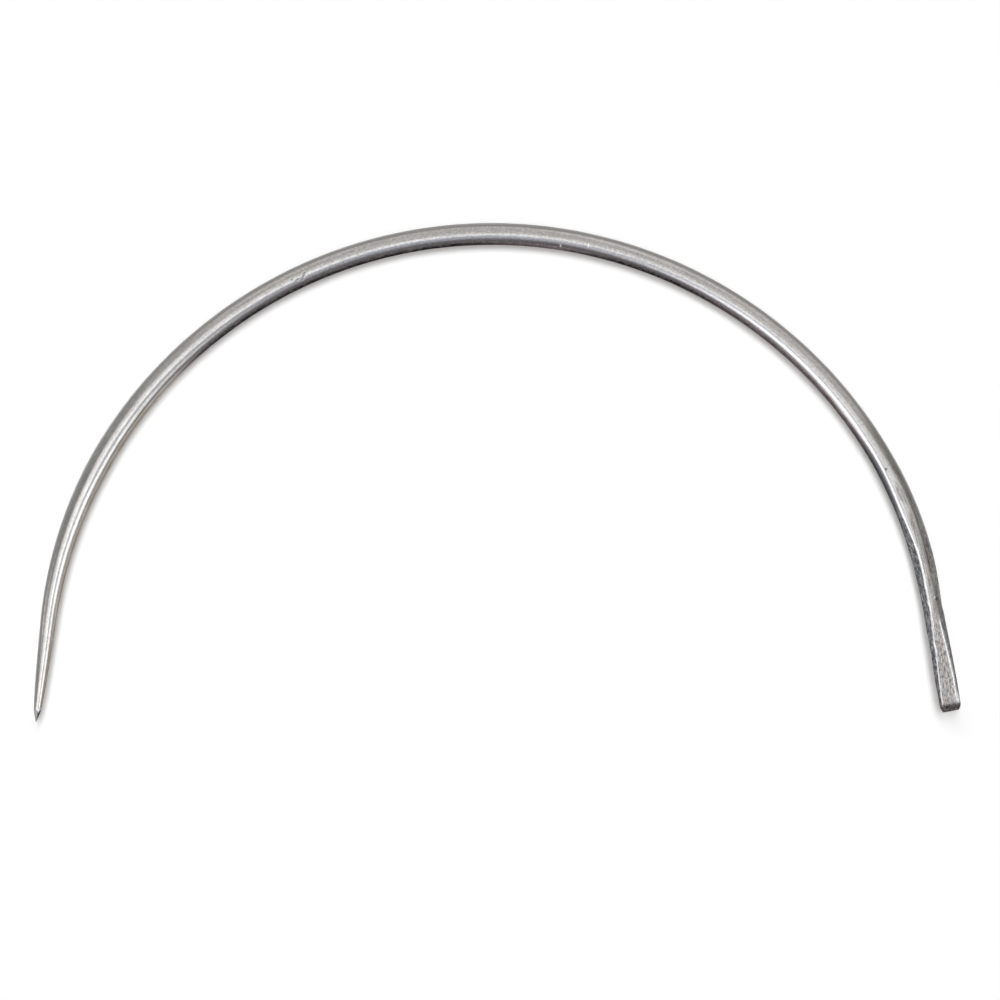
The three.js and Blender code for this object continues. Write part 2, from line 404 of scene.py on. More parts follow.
gutter_near = EYE_WALL - GUTTER_TO_BUTT
gutter_far = EYE_WALL + EYE_LENGTH + GUTTER_TO_SHAFT
punch = GUTTER_HEIGHT / 2
punch_clear = punch - GUTTER_DEPTH
mouth = math.sqrt(1 - (punch_clear / punch) ** 2)
lengthwise = (from_butt - (gutter_near + gutter_far) / 2) / ((gutter_far - gutter_near) / 2)
from_middle = (lengthwise ** 2 + (up / punch) ** 2) * mouth ** 2
hollow = punch * np.sqrt(np.maximum(1 - from_middle, 0)) - punch_clear
hollow = (hollow + np.sqrt(hollow * hollow + GUTTER_SOFTNESS ** 2)) / 2
by_gutter = (from_butt < gutter_far + GUTTER_FADE) & (from_butt > gutter_near - GUTTER_FADE)
inset = np.where(by_gutter, hollow, 0) * np.abs(normal_side) ** 2

# Marks, and the slight unevenness of drawn wire
DRAW_WAVE = 0.004
DRAW_WAVES = [(1, (0.35, 0.9, 0.9))]
for mark in marks:
    inset = inset + mark[-1] * mark_share(mark, along, np.degrees(round_angle))
inset = inset + DRAW_WAVE * (0.5 + 0.5 * ripples((along, side, up), DRAW_WAVES))

# The file's coarse strokes on the flats, the burr that it pushes up along their outer edges, the dints of the
# press on the sides, and the rough sheared end
FILE_DEPTH = 0.016
FILE_SLANT = 5
FILE_FACING = (0.9, 0.995)
FILE_RUN = (FLAT_LENGTH, FLAT_LENGTH - 4)
FILE_WAVES = [(1, (0.45, 4.2, 9)), (0.6, (0.9, 9, 4))]
FILE_LEVEL = 0.5
FILE_SWING = 0.35
BURR_HEIGHT = 0.055
BURR_FACING = (0.7, 0.9)
BURR_ABOVE = (10, 8.5)
BURR_BELOW = (0.6, 1.4)
BURR_WAVES = [(1, (0.9, 5.5, 9))]
BURR_LEVEL = 0.8
BURR_SWING = 0.6
PRESS_DEPTH = 0.014
PRESS_FACING = (0.5, 0.95)
PRESS_RUN = (17, 13)
PRESS_WAVES = [(1, (1.1, 1.3, 1.6)), (0.6, (3, 3, 4))]
SHEAR_DEPTH = 0.03
SHEAR_RUN = (1.2 * BEVEL_LENGTH, 0.6 * BEVEL_LENGTH)
TEAR_WAVES = [(1, (2.6, 2.6, 2.6)), (0.7, (6, 6, 6))]
TEAR_LEVEL = 0.35
TEAR_SWING = 0.4
TEAR_LIMITS = (-0.8, 1.5)
head = stations[:, 0] > length - FLAT_LENGTH
head_along = along[head]
head_side = side[head]
head_up = up[head]
head_from_butt = from_butt[head]
head_facing_up = np.abs(normal_up[head])
head_facing_aside = np.abs(normal_side[head])
which_flat = np.sign(head_up)
file_slant = math.radians(FILE_SLANT)
stroke_along = head_along * math.cos(file_slant) + head_side * math.sin(file_slant)
stroke_across = head_side * math.cos(file_slant) - head_along * math.sin(file_slant)
strokes = FILE_LEVEL + FILE_SWING * ripples((stroke_along, stroke_across, which_flat), FILE_WAVES)
on_flats = eased(head_facing_up, FILE_FACING) * eased(head_from_butt, FILE_RUN)
burr = hump(head_side, burr_at(head_along), BURR_WIDTH)
burr = burr * eased(head_from_butt, BURR_ABOVE) * eased(head_from_butt, BURR_BELOW)
burr = burr * (BURR_LEVEL + BURR_SWING * ripples((head_along, 1, which_flat), BURR_WAVES))
dints = ripples((head_along, head_side, head_up), PRESS_WAVES)
on_sides = eased(head_facing_aside, PRESS_FACING) * eased(head_from_butt, PRESS_RUN)
torn = np.clip(ripples((head_along, head_side, head_up), TEAR_WAVES), *TEAR_LIMITS)
relief = FILE_DEPTH * on_flats * strokes
relief = relief - BURR_HEIGHT * burr * eased(head_facing_up, BURR_FACING)
relief = relief + PRESS_DEPTH * on_sides * dints
relief = relief + SHEAR_DEPTH * eased(head_from_butt, SHEAR_RUN) * (TEAR_LEVEL + TEAR_SWING * torn)
inset[head] = inset[head] + relief
side = side - normal_side * inset
up = up - normal_up * inset

# The skin is closed at the tip, and at the butt by rings that shrink to the middle of the sheared face.
END_RINGS = [0.97, 0.9, 0.8, 0.68, 0.54, 0.38, 0.2]
END_WAVES = [(1, (3, 3, 2))]
END_LEVEL = 0.4
END_SWING = 0.5
END_LIMITS = (-0.8, 1)
END_STEEPNESS = 2
END_RIM = 0.2
UPWARDS = np.array([0, 0, 1])
axis_x, axis_y, heading = axis_at(stations)
ring_x = axis_x - np.sin(heading) * side
ring_y = axis_y + np.cos(heading) * side
rings = np.stack([ring_x, ring_y, radius + up], -1)
end_centre, end_along, end_out = directions_at(length)
end_rings = []
for share in END_RINGS:
    face_side = side[-1] * share
    face_up = up[-1] * share
    pitted = np.clip(ripples((face_side, face_up, 1), END_WAVES), *END_LIMITS)
    pitted = SHEAR_DEPTH * (END_LEVEL + END_SWING * pitted)
    deep = -pitted * min(1, END_STEEPNESS * (1 - share) + END_RIM)
    ring = end_centre + face_side[:, None] * end_out + deep[:, None] * end_along
    end_rings.append(ring + face_up[:, None] * UPWARDS)
rings = np.concatenate([rings, np.stack(end_rings)])
tip = np.array([0, 0, radius])
butt = end_centre - SHEAR_DEPTH / 2 * end_along


def closed_skin(name, rings, start, end):
    """A closed mesh over rings of equal count, with each end drawn in to a point."""
    count, around = rings.shape[:2]
    vertices = np.concatenate([rings.reshape(-1, 3), [start], [end]])
    first = np.arange(around)
    after = (first + 1) % around
    faces = []
    for ring in range(count - 1):
        here = ring * around
        there = here + around
        faces.extend(zip(here + first, here + after, there + after, there + first))
    first_point = count * around
    last_ring = (count - 1) * around
    faces.extend(zip(after, first, np.full(around, first_point)))
    faces.extend(zip(last_ring + first, last_ring + after, np.full(around, first_point + 1)))
    mesh = bpy.data.meshes.new(name)
    mesh.from_pydata(vertices.tolist(), [], [tuple(map(int, face)) for face in faces])
    mesh.validate()
    skin = bmesh.new()
    skin.from_mesh(mesh)
    bmesh.ops.recalc_face_normals(skin, faces=skin.faces)
    skin.to_mesh(mesh)
    skin.free()
    return mesh


needle = bpy.data.objects.new("needle_steel", closed_skin("needle_steel", rings, tip, butt))
bpy.context.scene.collection.objects.link(needle)

# The eye is a slot pierced from the inside of the arch to the outside, its mouths eased for the thread. The
# drift that pierces it is walked round its outline: the upper straight, a bow, the lower straight, a bow.
EYE_EASE = 0.08
EYE_EASE_START = 0.93
EYE_EASE_MOST = 0.97
EYE_POINTS = 112
EYE_RINGS = 41
DRIFT_REACH = 1.25
eye_middle = EYE_WALL + EYE_LENGTH / 2
eye_width = float(section_at(np.array([length - eye_middle]))[1][0])
mouth_at = eye_width - GUTTER_DEPTH
eye_centre, eye_along, eye_out = directions_at(length - eye_middle)
eye_half = EYE_HEIGHT / 2
eye_straight = EYE_LENGTH / 2 - eye_half
bow = math.pi * eye_half
walk = np.arange(EYE_POINTS) * (4 * eye_straight + 2 * bow) / EYE_POINTS
first_bow = walk - 2 * eye_straight
lower_straight = first_bow - bow
second_bow = lower_straight - 2 * eye_straight
pivot = np.where(first_bow < 0, eye_straight - walk, -eye_straight)
pivot = np.where((lower_straight >= 0) & (second_bow < 0), lower_straight - eye_straight, pivot)
pivot = np.where(second_bow >= 0, eye_straight, pivot)
pivot_turn = np.full(EYE_POINTS, math.pi / 2)
pivot_turn = np.where((first_bow >= 0) & (first_bow < bow), math.pi / 2 + first_bow / eye_half, pivot_turn)
pivot_turn = np.where(lower_straight >= 0, 1.5 * math.pi, pivot_turn)
pivot_turn = np.where(second_bow >= 0, 1.5 * math.pi + second_bow / eye_half, pivot_turn)
drift_rings = []
for across in np.linspace(-DRIFT_REACH * eye_width, DRIFT_REACH * eye_width, EYE_RINGS):
    bend = (abs(across) - mouth_at + EYE_EASE * EYE_EASE_START) / EYE_EASE
    bend = min(EYE_EASE_MOST, max(0, bend))
    wide = eye_half + EYE_EASE * (1 - math.sqrt(1 - bend * bend))
    lengthways = pivot + wide * np.cos(pivot_turn)
    upward = wide * np.sin(pivot_turn)
    ring = eye_centre + across * eye_out + lengthways[:, None] * eye_along
    drift_rings.append(ring + upward[:, None] * UPWARDS)
drift_rings = np.stack(drift_rings)
drift_mesh = closed_skin("eye_drift", drift_rings, drift_rings[0].mean(0), drift_rings[-1].mean(0))
drift = bpy.data.objects.new("eye_drift", drift_mesh)
bpy.context.scene.collection.objects.link(drift)
pierce = needle.modifiers.new("pierce", "BOOLEAN")
pierce.operation = "DIFFERENCE"
pierce.object = drift
pierce.solver = "MANIFOLD"
pierced = bpy.data.meshes.new_from_object(needle.evaluated_get(bpy.context.evaluated_depsgraph_get()))
needle.modifiers.clear()
needle.data = pierced
pierced.name = "needle_steel"
bpy.data.objects.remove(drift)

# Slivers that piercing leaves are drawn together, and its many-sided faces are cut into triangles.
SLIVER = 0.001
clean = bmesh.new()
clean.from_mesh(pierced)
bmesh.ops.dissolve_degenerate(clean, edges=clean.edges, dist=SLIVER)
bmesh.ops.triangulate(clean, faces=[face for face in clean.faces if len(face.verts) > 4])
bmesh.ops.dissolve_degenerate(clean, edges=clean.edges, dist=SLIVER)
clean.to_mesh(pierced)
clean.free()

# Each point's place on the straightened wire, for the finish to follow: distance from the tip, then out
# of the arch, then up, in millimetres from the axis. A first guess, by bearing from a spot inside the arch,
# is mended until the point is straight beside its place.
BEARING_STEPS = 6001
SPOT_ABOVE_ENDS = 10
MENDING_ROUNDS = 6
points = np.empty(len(pierced.vertices) * 3)
pierced.vertices.foreach_get("co", points)
points = points.reshape(-1, 3)
step_along = np.linspace(0, length, BEARING_STEPS)
step_x, step_y, step_heading = axis_at(step_along)
spot_x = (step_x[0] + step_x[-1]) / 2
spot_y = step_y.min() + SPOT_ABOVE_ENDS


def bearing_of(x, y):
    """The bearing of places from the spot inside the arch, without a jump on the way round."""
    bearing = np.arctan2(y - spot_y, x - spot_x)
    return np.where(bearing < -math.pi / 2, bearing + 2 * math.pi, bearing)


from_tip = np.interp(-bearing_of(points[:, 0], points[:, 1]), -bearing_of(step_x, step_y), step_along)
for mending in range(MENDING_ROUNDS):
    near_x, near_y, near_heading = axis_at(from_tip)
    ahead = (points[:, 0] - near_x) * np.cos(near_heading) + (points[:, 1] - near_y) * np.sin(near_heading)
    from_tip = np.clip(from_tip + ahead, 0, length)
near_x, near_y, near_heading = axis_at(from_tip)
out = (points[:, 1] - near_y) * np.cos(near_heading) - (points[:, 0] - near_x) * np.sin(near_heading)
rise = points[:, 2] - radius
to_butt = length - from_tip
point_angle = np.arctan2(rise, out)
rounding, half_width, half_height, flank = section_at(from_tip)
half_width = np.minimum(half_width, rounding)

# Where each finish lies, and each painted shade or highlight. A pair of values is where it starts and where
# it
# is full: in millimetres, in shares of half the wire's width, or by how far up the skin faces.
LEAST_HALF_WIDTH = 0.1
ACROSS_MIDDLE = (-0.05, 0.05)
NEAR_TIP = (12, 2)
NECK_ABOVE = (34, 27)
NECK_BELOW = (13, 17)
facing = np.empty(len(pierced.vertices) * 3)
pierced.vertices.foreach_get("normal", facing)
upright = np.abs(facing.reshape(-1, 3)[:, 2])
outward = out / np.maximum(half_width, LEAST_HALF_WIDTH)
inward = -outward
inside = eased(inward, ACROSS_MIDDLE)
near_tip = eased(from_tip, NEAR_TIP)
on_neck = eased(to_butt, NECK_ABOVE) * eased(to_butt, NECK_BELOW)
zones = {"neck": on_neck}


def shifted(span, shift):
    """A span moved down by a shift, which may differ from point to point."""
    start, full = span
    return start - shift, full - shift


# The filed flats, worked hardest near the butt
FILED_FACING = (0.9, 0.97)
FILED_RUN = (FLAT_LENGTH + 1, FLAT_LENGTH - 8)
FLAT_SLACK = 0.03
HEAD_SLACK = 0.045
HEAD_SLACK_RUN = (19, 13)
WORKED_RUN = (11.5, 8.5)
slack = FLAT_SLACK + HEAD_SLACK * eased(to_butt, HEAD_SLACK_RUN)
on_flat = eased(np.abs(rise) - half_height, (-slack, -slack / 2))
zones["filed"] = eased(upright, FILED_FACING) * on_flat * eased(to_butt, FILED_RUN)
zones["worked"] = eased(to_butt, WORKED_RUN)

# A painted highlight along their inner lip, and another along the burr on their outer edge
LIP_FACING = (0.75, 0.85)
LIP_TO_FLAT = (0.965, 0.93)
LIP_RISE = (0.3, 0.5)
LIP_ABOVE = (26, 21)
LIP_BELOW = (0.4, 1.2)
LIP_STRENGTH = 0.7
BRIGHT_BURR_RISE = (0.3, 0.6)
BRIGHT_BURR_ABOVE = (10.5, 8.5)
BRIGHT_BURR_BELOW = (0.5, 1)
BURR_SPREAD = (2.6, 1)
BURR_DRIFT = 0.1
lip = eased(upright, LIP_FACING) * eased(upright, LIP_TO_FLAT) * eased(np.abs(rise), LIP_RISE)
zones["lip"] = lip * inside * eased(to_butt, LIP_ABOVE) * eased(to_butt, LIP_BELOW) * LIP_STRENGTH
spread_burr = eased(to_butt, BURR_SPREAD)
on_burr = hump(out - burr_at(from_tip), BURR_DRIFT * spread_burr, BURR_WIDTH * (1 + spread_burr))
on_burr = on_burr * eased(np.abs(rise), BRIGHT_BURR_RISE)
zones["burr"] = on_burr * eased(to_butt, BRIGHT_BURR_ABOVE) * eased(to_butt, BRIGHT_BURR_BELOW)

# The forged flanks, and the shade on the outer ones
FORGED_FACING = (0.93, 0.82)
FORGED_INSIDE = (24, 19)
FORGED_OUTSIDE = (24, 15)
NECK_SHADE = (0.05, 0.62)
HEAD_SHADE = (0.42, 0.64)
HEAD_SHADE_RUN = (17, 13)
HEAD_SHADE_STRENGTH = 0.6
SHADE_END = (0.92, 0.76)
LOW_SHADE = (0.72, 0.84)
LOW_SHADE_RUN = (12, 9)
LOW_SHADE_STRENGTH = 0.9
on_forged = inside * eased(to_butt, FORGED_INSIDE) + (1 - inside) * eased(to_butt, FORGED_OUTSIDE)
zones["forged"] = eased(upright, FORGED_FACING) * on_forged
head_shade = HEAD_SHADE_STRENGTH * eased(outward, HEAD_SHADE) * eased(to_butt, HEAD_SHADE_RUN)
high_shade = np.maximum(eased(outward, NECK_SHADE) * on_neck, head_shade) * eased(outward, SHADE_END)
low_shade = LOW_SHADE_STRENGTH * eased(outward, LOW_SHADE) * eased(to_butt, LOW_SHADE_RUN)
zones["shade"] = np.maximum(high_shade, low_shade)

# The sheared end, the walls of the eye, painted dark as shade inside the slot, and the honed tip
SHEARED_RUN = (1.35, 0.15)
EYE_END_SLACK = 0.12
EYE_END_RUN = (0, 0.05)
EYE_MOUTH_SLACK = 0.02
EYE_MOUTH_RUN = (0, 0.1)
HONED_RUN = (-0.012, 0.012)
zones["sheared"] = eased(to_butt, SHEARED_RUN)
in_eye = eased(EYE_LENGTH / 2 + EYE_END_SLACK - np.abs(to_butt - eye_middle), EYE_END_RUN)
in_eye = in_eye * (np.abs(rise) < eye_half + EYE_EASE / 2)
zones["pierced"] = in_eye * eased(mouth_at - EYE_MOUTH_SLACK - np.abs(out), EYE_MOUTH_RUN)
zones["honed"] = eased(rounding - honed_at(from_tip, point_angle), HONED_RUN)

# Inside the bend: a bluish band, then a pale purple fringe, then painted shade for the shadowed table that
# the inner side reflects, purple-brown and then dark at the edge, less dark in a few places
TINT_AND_SHADE_FROM_TIP = (33, 47)
TINT_AND_SHADE_TO_BUTT = (14, 22)
LIGHTENED_AT = 82
LIGHTENED_RUN = 5
LIGHTENED_CROWN = 0.5
LIGHTENED_FROM = (97, 107)
LIGHTENED_REST = 0.35
BLUED_START = (0.02, 0.2)
BLUED_END = (0.66, 0.5)
FRINGE_START = (0.32, 0.44)
FRINGE_END = (0.62, 0.5)
PAINTED_SHADE_START = (0.49, 0.8)
PAINTED_SHADE_NECK_SHIFT = 0.15
DARK_START = (0.55, 0.83)
BROWNED_START = (0.55, 0.85)
BROWNED_TIP_SHIFT = 0.1
BROWNED_TO_SHAFT = (47, 33)
BROWNED_FROM_TIP = (0.9, 1.6)
tint_and_shade_reach = eased(from_tip, TINT_AND_SHADE_FROM_TIP) * eased(to_butt, TINT_AND_SHADE_TO_BUTT)
lightened = LIGHTENED_CROWN * hump(from_tip, LIGHTENED_AT, LIGHTENED_RUN) + LIGHTENED_REST * eased(from_tip, LIGHTENED_FROM)
zones["blued"] = eased(inward, BLUED_START) * eased(inward, BLUED_END) * tint_and_shade_reach
zones["fringe"] = eased(inward, FRINGE_START) * eased(inward, FRINGE_END) * tint_and_shade_reach
# The painted shade on the inner side, and its darkest part at the inner edge, less dark where lightened
zones["skin"] = eased(inward, shifted(PAINTED_SHADE_START, PAINTED_SHADE_NECK_SHIFT * on_neck)) * tint_and_shade_reach
zones["dark"] = eased(inward, DARK_START) * tint_and_shade_reach * (1 - lightened)
# By the point the inner side is darker and brown: painted shade with a warm tint
browned = eased(inward, shifted(BROWNED_START, BROWNED_TIP_SHIFT * near_tip))
zones["browned"] = browned * eased(from_tip, BROWNED_TO_SHAFT) * eased(from_tip, BROWNED_FROM_TIP)

# The outer side, kept duller than the top, and a darker rim along its edge: both painted shade
FLANK_START = (0.3, 0.5)
FLANK_TAPER_SHIFT = 0.1
ON_TAPER = (34, 26)
RIM_FROM = 0.645
RIM_FROM_TIP_SHIFT = 0.345
RIM_FULL = 0.71
RIM_FULL_TIP_SHIFT = 0.23
RIM_EDGE = (0.8, 0.93)
RIM_EDGE_LOSS = 0.9
on_taper = eased(from_tip, ON_TAPER)
zones["flank"] = eased(outward, shifted(FLANK_START, FLANK_TAPER_SHIFT * on_taper))
rim_start = (RIM_FROM - RIM_FROM_TIP_SHIFT * near_tip, RIM_FULL - RIM_FULL_TIP_SHIFT * near_tip)
rim = eased(outward, rim_start) * (1 - RIM_EDGE_LOSS * eased(outward, RIM_EDGE))
zones["rim"] = rim * eased(to_butt, TINT_AND_SHADE_TO_BUTT)

# The small marks: some with painted glints, some dark
SCUFF_DARKNESS = 0.4


def marked(group):
    """How much there is of a group of marks at each point."""
    return sum(mark_share(mark, from_tip, np.degrees(point_angle)) for mark in group)


zones["glint"] = marked(glinting_marks)
zones["pit"] = marked(dark_marks) + SCUFF_DARKNESS * marked(SCUFF_PITS)
straight = pierced.attributes.new("straight", "FLOAT_VECTOR", "POINT")
straight.data.foreach_set("vector", np.stack([from_tip, out, rise], -1).ravel())
for zone, share in zones.items():
    attribute = pierced.attributes.new(zone, "FLOAT", "POINT")
    attribute.data.foreach_set("value", share.astype(np.float32))

# The skin laid out flat, for a painted copy of the finish: the wire in strips, one above another, and over
# them a row with the eye's upper and lower walls and the sheared face
STRIPS = 5
STRIP_MARGIN = 0.7
STRIP_FILL = 0.92
WALLS_AT = (0.17, 0.5)
WALL_SCALE = 0.05
WALL_INSET = 0.03
WALL_SLACK = 0.01
SHEARED_AT = 0.82
SHEARED_SCALE = 0.055
SHEARED_FACING = 0.8
SHEARED_DEPTH = 0.06
loop_point = np.empty(len(pierced.loops), int)
pierced.loops.foreach_get("vertex_index", loop_point)
face_start = np.empty(len(pierced.polygons), int)
pierced.polygons.foreach_get("loop_start", face_start)
face_corners = np.diff(np.append(face_start, len(loop_point)))
face_of = np.repeat(np.arange(len(face_start)), face_corners)
face_normal = np.empty(len(face_start) * 3)
pierced.polygons.foreach_get("normal", face_normal)
towards_end = face_normal.reshape(-1, 3) @ end_along


def face_mean(value):
    """The mean of a value over each face's corners."""
    return np.add.reduceat(value[loop_point], face_start) / face_corners


loop_angle = point_angle[loop_point]
first_angle = loop_angle[face_start][face_of]
loop_angle = first_angle + np.mod(loop_angle - first_angle + math.pi, 2 * math.pi) - math.pi
strip_length = length / STRIPS
strip = np.clip(np.floor(face_mean(from_tip) / strip_length), 0, STRIPS - 1)[face_of]
row_height = 1 / (STRIPS + 1)
top_row = (STRIPS + 0.5) * row_height
across_map = (from_tip[loop_point] - strip * strip_length + STRIP_MARGIN) / (strip_length + 2 * STRIP_MARGIN)
up_map = (strip + 0.5 - STRIP_FILL * loop_angle / (2 * math.pi)) * row_height

along_eye = to_butt - eye_middle
in_bow = np.abs(along_eye) > eye_straight
along_eye = along_eye + np.sign(along_eye) * in_bow * np.maximum(eye_half - np.abs(rise), 0)
wall = (face_mean(np.abs(out)) < mouth_at - WALL_INSET) & (face_mean(np.abs(rise)) < eye_half + WALL_SLACK)
wall = wall & (np.abs(face_mean(to_butt) - eye_middle) < EYE_LENGTH / 2 + WALL_SLACK)
wall = wall[face_of]
upper = (face_mean(rise) > 0)[face_of]
wall_out = np.where(upper, out[loop_point], -out[loop_point])
across_map = np.where(wall, np.where(upper, *WALLS_AT) + along_eye[loop_point] * WALL_SCALE, across_map)
up_map = np.where(wall, top_row + wall_out * WALL_SCALE, up_map)

end_face = ((towards_end > SHEARED_FACING) & (face_mean(to_butt) < SHEARED_DEPTH))[face_of]
across_map = np.where(end_face, SHEARED_AT + out[loop_point] * SHEARED_SCALE, across_map)
up_map = np.where(end_face, top_row + rise[loop_point] * SHEARED_SCALE, up_map)
layout = pierced.uv_layers.new(name="OFBake")
layout.uv.foreach_set("vector", np.stack([across_map, up_map], -1).ravel())

# Into the solid's place, in metres: the plain wire at the left and at the crown lies where the solid's does.
MILLIMETRE = 0.001
SHARP_EDGE = 40
lowest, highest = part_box("needle")
left_and_crown = Matrix.Translation((-points[:, 0].min(), -points[:, 1].max(), 0))
to_place = Matrix.Translation((lowest.x, highest.y, lowest.z))
pierced.transform(to_place @ Matrix.Scale(MILLIMETRE, 4) @ left_and_crown)
pierced.shade_smooth()
pierced.set_sharp_from_angle(angle=math.radians(SHARP_EDGE))

# Bright drawn steel: fine lines along the wire, a soft mottle, and rougher finishes, painted shade and
# painted highlights in the zones above
steel = bpy.data.materials.new("drawn_steel")
steel.use_nodes = True
tree = steel.node_tree
shader = tree.nodes["Principled BSDF"]


def put(socket, value):
    """Sets a socket, or joins it to another node's output."""
    if isinstance(value, bpy.types.NodeSocket):
        socket.id_data.links.new(value, socket)
    else:
        socket.default_value = value


def worked_out(kind, operation, values):
    """The results of a sum in the tree at hand."""
    sum_node = tree.nodes.new(kind)
    sum_node.operation = operation
    for socket, value in zip(sum_node.inputs, values):
        put(socket, value)
    return sum_node.outputs


def maths(operation, *values):
    """A sum of numbers."""
    return worked_out("ShaderNodeMath", operation, values)[0]


def vector_maths(operation, *values):
    """A sum of vectors, whose result is a vector or one value."""
    return worked_out("ShaderNodeVectorMath", operation, values)


def cloud(vector, stretch, detail, fineness=0.55):
    """Noise between 0 and 1; stretch is how many features it has to a millimetre, each way."""
    texture = tree.nodes.new("ShaderNodeTexNoise")
    put(texture.inputs["Vector"], vector_maths("MULTIPLY", vector, stretch)["Vector"])
    put(texture.inputs["Scale"], 1.0)
    put(texture.inputs["Detail"], detail)
    put(texture.inputs["Roughness"], fineness)
    return texture.outputs["Fac"]


def graded(value, span, start=0.0, stop=1.0):
    """A smooth climb from start to stop as the value goes from the span's first end to its second."""
    ramp = tree.nodes.new("ShaderNodeMapRange")
    ramp.interpolation_type = "SMOOTHSTEP"
    for socket, given in zip(ramp.inputs, (value, *span, start, stop)):
        put(socket, given)
    return ramp.outputs[0]


def between(share, first, second):
    """A colour between two, by a share of the second."""
    mix = tree.nodes.new("ShaderNodeMix")
    mix.data_type = "RGBA"
    put(mix.inputs[0], share)
    put(mix.inputs[6], first)
    put(mix.inputs[7], second)
    return mix.outputs[2]


def level(share, first, second):
    """A number between two, by a share of the second."""
    mix = tree.nodes.new("ShaderNodeMix")
    put(mix.inputs[0], share)
    put(mix.inputs[2], first)
    put(mix.inputs[3], second)
    return mix.outputs[0]


def summed(first, first_share, second, second_share):
    """Two patterns added up by their shares."""
    return maths("ADD", maths("MULTIPLY", first, first_share), maths("MULTIPLY", second, second_share))


def zone_share(name):
    """How much of a finish there is at each point."""
    reader = tree.nodes.new("ShaderNodeAttribute")
    reader.attribute_name = name
    return reader.outputs["Fac"]


def broken(name, pattern, span, start=0.0, stop=1.0):
    """A finish's share, broken up by a pattern."""
    return maths("MULTIPLY", zone_share(name), graded(pattern, span, start, stop))


# Patterns on the straightened wire; each one's stretch is along it, out of the arch and up
CROSS_SLANT = -4
RAGGEDNESS = 1.5
PATCH_LEVEL = 0.7
place_reader = tree.nodes.new("ShaderNodeAttribute")
place_reader.attribute_name = "straight"
wire_place = place_reader.outputs["Vector"]
wire_parts = tree.nodes.new("ShaderNodeSeparateXYZ")
put(wire_parts.inputs[0], wire_place)


def slanted(degrees):
    """Places on the wire, turned about the upright."""
    turned = tree.nodes.new("ShaderNodeVectorRotate")
    turned.rotation_type = "Z_AXIS"
    put(turned.inputs["Vector"], wire_place)
    put(turned.inputs["Angle"], math.radians(degrees))
    return turned.outputs[0]


draw_lines = cloud(wire_place, stretch=(0.05, 7, 7), detail=3)
mottle = cloud(wire_place, stretch=(0.5, 1.5, 1.5), detail=4)
grain = cloud(wire_place, stretch=(3.5, 6.5, 6.5), detail=2, fineness=0.6)
dimples = cloud(wire_place, stretch=(1.1, 2.4, 2.4), detail=3)
file_strokes = cloud(slanted(FILE_SLANT), stretch=(1.8, 7, 2), detail=3, fineness=0.68)
neck_strokes = cloud(wire_place, stretch=(0.5, 7, 3), detail=3, fineness=0.62)
cross_strokes = cloud(slanted(CROSS_SLANT), stretch=(4, 14, 2), detail=2, fineness=0.6)
blotches = cloud(wire_place, stretch=(0.45, 0.9, 0.9), detail=3)
speckle = cloud(wire_place, stretch=(5, 6, 6), detail=3, fineness=0.65)
flakes = cloud(wire_place, stretch=(2.4, 5, 5), detail=4, fineness=0.75)
tints = cloud(wire_place, stretch=(0.8, 2.2, 2.2), detail=2)
lines_and_mottle = summed(draw_lines, 0.6, mottle, 0.4)
long_strokes = level(zone_share("worked"), neck_strokes, file_strokes)
stroke_mix = summed(long_strokes, 0.65, cross_strokes, 0.35)
ragged = maths("MULTIPLY", maths("SUBTRACT", file_strokes, 0.5), RAGGEDNESS)
patchy = maths("SUBTRACT", summed(blotches, 0.6, flakes, 0.8), PATCH_LEVEL)
torn_mix = summed(flakes, 0.5, speckle, 0.5)

# The plain wire: drawn steel, polished brighter towards the point, with a bluish band, a pale fringe and a
# fine grain, and painted shade on its outer side and dull rim
DARK_STEEL = (0.40, 0.392, 0.385, 1)
BRIGHT_STEEL = (0.50, 0.492, 0.485, 1)
GROUND_DARK = (0.61, 0.605, 0.60, 1)
GROUND_BRIGHT = (0.76, 0.755, 0.75, 1)
BLUED_STEEL = (0.435, 0.445, 0.485, 1)
FRINGE_STEEL = (0.58, 0.54, 0.575, 1)
GRAIN_BRIGHT = (0.85, 0.845, 0.84, 1)
GRAIN_DARK = (0.16, 0.155, 0.15, 1)
RIM_SHADE_STEEL = (0.25, 0.242, 0.232, 1)
LINE_CONTRAST = (0.35, 0.65)
POLISH_REACH = 44.5
SHADED_FLANK_POLISH = 0.4
GRAIN_STRENGTH = 0.16
lines = graded(lines_and_mottle, LINE_CONTRAST)
up_the_wire = maths("DIVIDE", wire_parts.outputs["X"], POLISH_REACH)
polished = maths("EXPONENT", maths("MULTIPLY", maths("MULTIPLY", up_the_wire, up_the_wire), -1))
# Less of the polish's brightness on the outer side: painted shade
polished = maths("MULTIPLY", polished, graded(zone_share("flank"), (0, 1), 1.0, SHADED_FLANK_POLISH))
drawn_colour = between(lines, DARK_STEEL, BRIGHT_STEEL)
ground_colour = between(lines, GROUND_DARK, GROUND_BRIGHT)
drawn_colour = between(broken("blued", flakes, (0.4, 0.62), 0.2, 0.9), drawn_colour, BLUED_STEEL)
drawn_colour = between(broken("fringe", flakes, (0.38, 0.6), 0.5, 1.0), drawn_colour, FRINGE_STEEL)
colour = between(polished, drawn_colour, ground_colour)
colour = between(graded(grain, (0.5, 0.66), 0.0, GRAIN_STRENGTH), colour, GRAIN_BRIGHT)
colour = between(graded(grain, (0.5, 0.34), 0.0, GRAIN_STRENGTH), colour, GRAIN_DARK)
# The dull rim along the outer edge: painted shade
colour = between(zone_share("rim"), colour, RIM_SHADE_STEEL)

